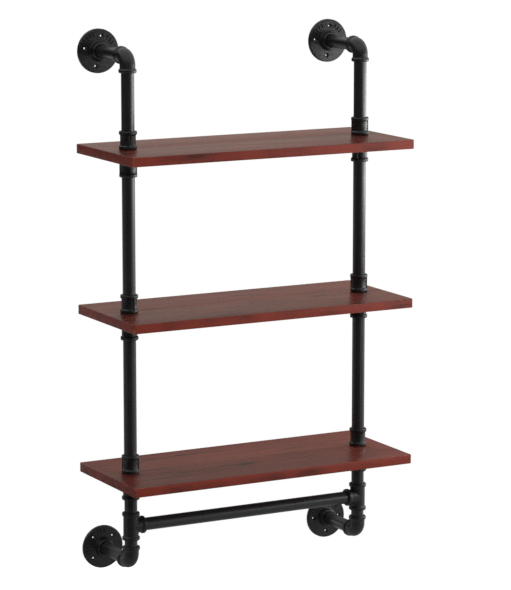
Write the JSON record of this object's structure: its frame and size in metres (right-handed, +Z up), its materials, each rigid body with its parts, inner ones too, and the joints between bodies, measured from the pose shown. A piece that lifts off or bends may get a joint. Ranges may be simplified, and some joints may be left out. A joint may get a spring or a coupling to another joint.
{
  "type": "pipe shelving unit",
  "caption": "Wall shelving unit: stained wood boards held between couplings on black threaded pipe columns with wall flanges, and a towel rod below.",
  "frame": {"origin": "centre of the whole unit: midway between the two columns, midway between the upper and lower wall flanges, and midway from the front edge of the boards to the wall plane (the wall plane is y = +0.1295)", "axes": "+X along the boards to the right as seen from the room, +Y into the wall, +Z up"},
  "size_m": [0.6096, 0.259, 1.0693],
  "materials": {
    "steel_pipe": "matte black powder coat on threaded steel pipe",
    "cast_fitting": "matte black coat on malleable cast iron, slightly grained",
    "stained_board": "solid softwood board, mahogany stain under a thin matte lacquer"
  },
  "bodies": {
    "root": {"bottom_shelf_board": "stained_board", "hanging_rod": "steel_pipe", "left_bottom_shelf_lower_coupling": "cast_fitting", "left_bottom_shelf_nipple": "steel_pipe", "left_bottom_shelf_upper_coupling": "cast_fitting", "left_lower_elbow": "cast_fitting", "left_lower_riser_pipe": "steel_pipe", "left_lower_wall_flange": "cast_fitting", "left_lower_wall_nipple": "steel_pipe", "left_middle_shelf_lower_coupling": "cast_fitting", "left_middle_shelf_nipple": "steel_pipe", "left_middle_shelf_upper_coupling": "cast_fitting", "left_rod_tee": "cast_fitting", "left_tee_lower_nipple": "steel_pipe", "left_tee_upper_nipple": "steel_pipe", "left_top_riser_pipe": "steel_pipe", "left_top_shelf_lower_coupling": "cast_fitting", "left_top_shelf_nipple": "steel_pipe", "left_top_shelf_upper_coupling": "cast_fitting", "left_upper_elbow": "cast_fitting", "left_upper_riser_pipe": "steel_pipe", "left_upper_wall_flange": "cast_fitting", "left_upper_wall_nipple": "steel_pipe", "middle_shelf_board": "stained_board", "right_bottom_shelf_lower_coupling": "cast_fitting", "right_bottom_shelf_nipple": "steel_pipe", "right_bottom_shelf_upper_coupling": "cast_fitting", "right_lower_elbow": "cast_fitting", "right_lower_riser_pipe": "steel_pipe", "right_lower_wall_flange": "cast_fitting", "right_lower_wall_nipple": "steel_pipe", "right_middle_shelf_lower_coupling": "cast_fitting", "right_middle_shelf_nipple": "steel_pipe", "right_middle_shelf_upper_coupling": "cast_fitting", "right_rod_tee": "cast_fitting", "right_tee_lower_nipple": "steel_pipe", "right_tee_upper_nipple": "steel_pipe", "right_top_riser_pipe": "steel_pipe", "right_top_shelf_lower_coupling": "cast_fitting", "right_top_shelf_nipple": "steel_pipe", "right_top_shelf_upper_coupling": "cast_fitting", "right_upper_elbow": "cast_fitting", "right_upper_riser_pipe": "steel_pipe", "right_upper_wall_flange": "cast_fitting", "right_upper_wall_nipple": "steel_pipe", "top_shelf_board": "stained_board"}
  },
  "joints": []
}
